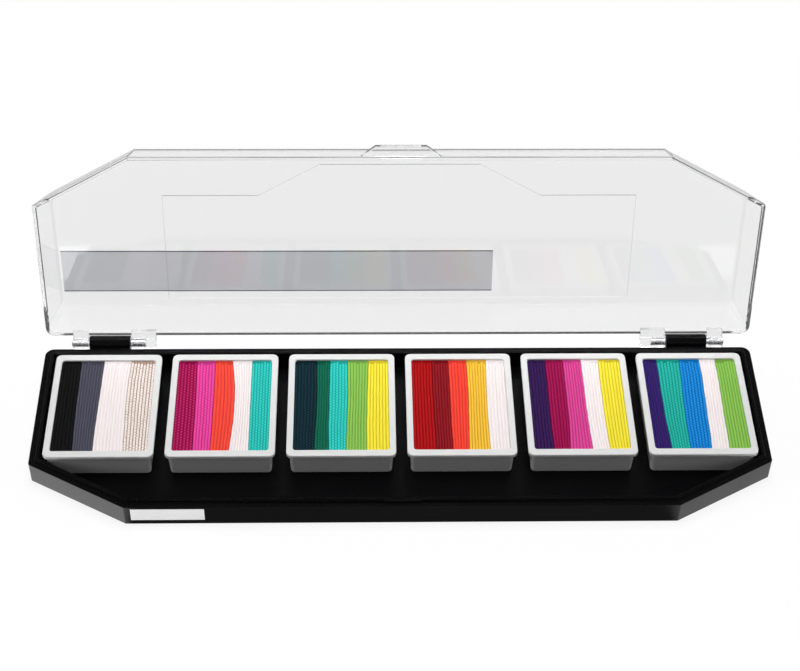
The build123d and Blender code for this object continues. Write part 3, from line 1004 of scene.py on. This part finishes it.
class PALETTE_OT_paints(bpy.types.Operator):
    """Lays combed stripes of paint in every cup"""

    bl_idname = "palette.paints"
    bl_label = "Paints"

    def execute(self, context):
        paint = context.scene.palette_paint
        cups = context.scene.palette_cups
        finishes = {name: paint_finish(name) for name in PAINTS}
        strip = self.strip(paint)
        dice = random.Random(7)
        for i, stripes in enumerate(STRIPES):
            middle = (CUP_LOW + CUP_HIGH) / 2 + Vector((i * cups.pitch, 0, 0))
            half = Vector((
                (CUP_HIGH.x - CUP_LOW.x) / 2 - cups.side_rim,
                (CUP_HIGH.y - CUP_LOW.y) / 2 - cups.end_rim,
            ))
            edges = self.edges(stripes, half, paint, dice)
            for j, (name, _, _, ridges, _) in enumerate(stripes):
                node = f"paint_{i + 1}_{name}"
                piece = duplicate(strip, f"combed_{i + 1}_{name}")
                low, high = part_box(node)
                self.lay(piece, (edges[j], edges[j + 1]), middle, half, (low.z, high.z), ridges,
                         PAINTS[name][2], paint, dice)
                alone(piece)
                bpy.ops.object.shade_smooth_by_angle(angle=math.radians(50))
                belongs(piece, f"cup_{i + 1}", f"paint_{name}", finishes[name], node)
        bpy.data.objects.remove(strip)
        return {"FINISHED"}

    def strip(self, paint):
        """A flat grid a metre square, extruded up into a closed slab."""
        bpy.ops.object.select_all(action="DESELECT")
        bpy.ops.mesh.primitive_grid_add(x_subdivisions=paint.columns, y_subdivisions=paint.rows, size=1)
        strip = bpy.context.object
        strip.name = "strip"
        with Bench(strip) as bench:
            bench.extrude((0, 0, 1))
            bench.outwards()
            bench.pick("FACE", lambda f: f.normal.z < -0.9)
            bpy.ops.mesh.dissolve_faces()
        return strip

    def edges(self, stripes, half, paint, dice):
        """Each edge between stripes as a function that gives its X at a place along the cup."""
        whole = [sum(s[k] for s in stripes) for k in (1, 2)]
        made = []
        run = [0.0, 0.0]
        for j in range(len(stripes) + 1):
            back, front = (-half.x + 2 * half.x * run[k] / whole[k] for k in (0, 1))
            inner = 0 < j < len(stripes)
            bow = stripes[j - 1][4] * MM if inner else 0.0
            waves = [
                (
                    paint.wander * dice.uniform(0.4, 1.0) / (1 + n),
                    2 * math.pi * rate,
                    dice.uniform(0, 6.28),
                )
                for n, rate in enumerate((1.3, 3.1, 7.3, 23.0))
            ] if inner else []

            def place(t, back=back, front=front, bow=bow, waves=waves):
                wander = sum(size * math.sin(rate * t + start) for size, rate, start in waves)
                return front + (back - front) * t + bow * (1 - (2 * t - 1) ** 2) + wander

            made.append(place)
            if j < len(stripes):
                run = [run[k] + stripes[j][k + 1] for k in (0, 1)]
        return made

    def lay(self, piece, edges, middle, half, levels, ridges, beading_and_glints, paint, dice):
        """Brings a copy of the strip to its place and combs its top into ridges."""
        mesh = piece.data
        crest = mesh.attributes.new("crest", "FLOAT", "POINT")
        bead = mesh.attributes.new("bead", "FLOAT", "POINT")
        swell = [(dice.uniform(0.5, 2.5), dice.uniform(0, 6.28), dice.uniform(1, 4)) for n in range(3)]
        starts = [dice.uniform(0.012, 0.036) for n in range(ridges)]
        phases = [dice.uniform(0, 6.28) for n in range(ridges)]
        corner = 1.0 * MM
        edge_x = half.x - corner
        edge_y = half.y - corner
        run_in = 0.012
        shoulder_width = 0.25 * MM
        for vert, mark, dot in zip(mesh.vertices, crest.data, bead.data):
            u, t = vert.co.x + 0.5, vert.co.y + 0.5
            y = middle.y + (t - 0.5) * 2 * half.y
            low, high = (edge(t) for edge in edges)
            x = low + (high - low) * u
            ridge = min(int(u * ridges), ridges - 1)
            round_top = abs(math.sin(math.pi * u * ridges)) ** 0.7
            fade = min(1.0, max(0.0, (1 - t - starts[ridge]) / run_in)) * min(1.0, t / run_in)
            side = min(u, 1 - u)
            shoulder = max(0.0, 1 - side * (high - low) / shoulder_width)
            uneven = sum(math.sin(a * 6.28 * t + b + c * u) for a, b, c in swell) / 3
            drop = paint.groove * (1 - round_top) * fade + paint.groove * 0.35 * (1 - fade)
            drop += 0.04 * MM * (1 + uneven) + 0.12 * MM * shoulder ** 2
            along = 2 * math.pi * paint.beads * t + math.pi * (ridge % 2) + phases[ridge] * 0.12
            beads = math.sin(along) * fade
            drop += paint.bead * beading_and_glints * (0.5 - 0.5 * beads)
            over = (abs(x) - edge_x, abs(y - middle.y) - edge_y)
            if over[0] > 0 and over[1] > 0 and math.hypot(*over) > corner:
                share = corner / math.hypot(*over)
                x = math.copysign(edge_x + over[0] * share, x)
                y = middle.y + math.copysign(edge_y + over[1] * share, y - middle.y)
            top = vert.co.z > 0.5
            vert.co = (middle.x + x, y, levels[1] - drop if top else levels[0])
            # crest and bead give where the ridge tops and beads are; the paint's colour uses them for
            # painted shade, a painted highlight and painted glints
            mark.value = round_top * fade if top else 0.0
            dot.value = (0.5 + 0.5 * beads) * round_top if top else 0.0
        mesh.update()


class PALETTE_OT_prints(bpy.types.Operator):
    """Adds the band on the lid, white ink painted grey as painted shade, and the white bar on the tray,
    which glows with painted light
    """

    bl_idname = "palette.prints"
    bl_label = "Prints"

    def execute(self, context):
        sizes = context.scene.palette_lid
        level = RIM + sizes.depth
        left = -WIDTH / 2 + sizes.lean + 1.4 * MM
        near = BACK - sizes.lean - 5.9 * MM
        long, wide, shaded_border = 146.5 * MM, 16.2 * MM, 0.4 * MM
        band = block("printed_band", (left, near - wide, level + 0.02 * MM),
                     (left + long, near, level + 0.12 * MM))
        soften(band, 0.03 * MM)
        with Bench(band) as bench:
            bench.slice((0, near - shaded_border, 0), (0, 1, 0))
            bench.slice((0, near - wide + shaded_border, 0), (0, 1, 0))
        # Faces along the band's long edges are marked for painted shade
        dark = band.data.attributes.new("shaded_border", "FLOAT", "FACE")
        for face, mark in zip(band.data.polygons, dark.data):
            mark.value = abs(face.center.y - near + wide / 2) > wide / 2 - shaded_border
        opened(band)
        smooth(band)
        # The band's ink is white, painted grey here as painted shade, the shade that the white ink lies
        # in as seen through the open lid
        grey, pale = (0.5, 0.515, 0.54, 1), (0.56, 0.57, 0.595, 1)
        finish = print_finish("band ink in painted shade", grey, pale, 0.4)
        self.paint_border_shade(finish)
        belongs(band, "lid", "band_grey", finish, "lid_band")
        low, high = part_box("front_bar")
        bar = block("printed_bar", low, (high.x, high.y - 0.01 * MM, high.z))
        soften(bar, 0.03 * MM)
        smooth(bar)
        finish = print_finish("glowing white print", (0.86, 0.86, 0.86, 1), (0.92, 0.92, 0.92, 1), 0.5)
        # An emission of 0.3 makes the bar glow: painted light that lifts it above what the lamps give
        finish.set("Emission Color", (1, 1, 1, 1))
        finish.set("Emission Strength", 0.3)
        belongs(bar, "tray", "bar_white", finish, "front_bar")
        return {"FINISHED"}

    def paint_border_shade(self, finish):
        """Paints fine dark lines along the band's long edges: painted shade for the dark lines that the
        clear panel shows beside the print's edges.
        """
        shaded_border = finish.node("ShaderNodeAttribute", {"attribute_name": "shaded_border"}, output="Fac")
        grey = Value(finish, finish.shader.inputs["Base Color"].links[0].from_socket)
        finish.set("Base Color", finish.blend(shaded_border, grey, (0.03, 0.03, 0.035, 1)))


class PALETTE_PT_sidebar(bpy.types.Panel):
    """Lists the palette's pieces and their sizes"""

    bl_idname = "PALETTE_PT_sidebar"
    bl_label = "Face Paint Palette"
    bl_space_type = "VIEW_3D"
    bl_region_type = "UI"
    bl_category = "Palette"

    def draw(self, context):
        for operator, group in STEPS:
            box = self.layout.box()
            box.operator(operator.bl_idname)
            if group:
                values = getattr(context.scene, group)
                for name in values.bl_rna.properties.keys():
                    if name not in ("rna_type", "name"):
                        box.prop(values, name)


GROUPS = {
    "palette_stage": PaletteStage,
    "palette_tray": PaletteTray,
    "palette_lid": PaletteLid,
    "palette_cups": PaletteCups,
    "palette_paint": PalettePaint,
}
STEPS = (
    (PALETTE_OT_stage, "palette_stage"),
    (PALETTE_OT_tray, "palette_tray"),
    (PALETTE_OT_lid, "palette_lid"),
    (PALETTE_OT_pins, None),
    (PALETTE_OT_cups, "palette_cups"),
    (PALETTE_OT_paints, "palette_paint"),
    (PALETTE_OT_prints, None),
)


def register():
    for group in GROUPS.values():
        bpy.utils.register_class(group)
    for operator, group in STEPS:
        bpy.utils.register_class(operator)
    bpy.utils.register_class(PALETTE_PT_sidebar)
    for name, group in GROUPS.items():
        setattr(bpy.types.Scene, name, PointerProperty(type=group))


def unregister():
    for name in GROUPS:
        delattr(bpy.types.Scene, name)
    bpy.utils.unregister_class(PALETTE_PT_sidebar)
    for operator, group in reversed(STEPS):
        bpy.utils.unregister_class(operator)
    for group in reversed(GROUPS.values()):
        bpy.utils.unregister_class(group)


def main():
    register()
    bpy.ops.palette.stage()
    bpy.ops.palette.tray()
    bpy.ops.palette.lid()
    bpy.ops.palette.pins()
    bpy.ops.palette.cups()
    bpy.ops.palette.paints()
    bpy.ops.palette.prints()
    bpy.ops.object.select_all(action="DESELECT")


if __name__ == "__main__":
    main()
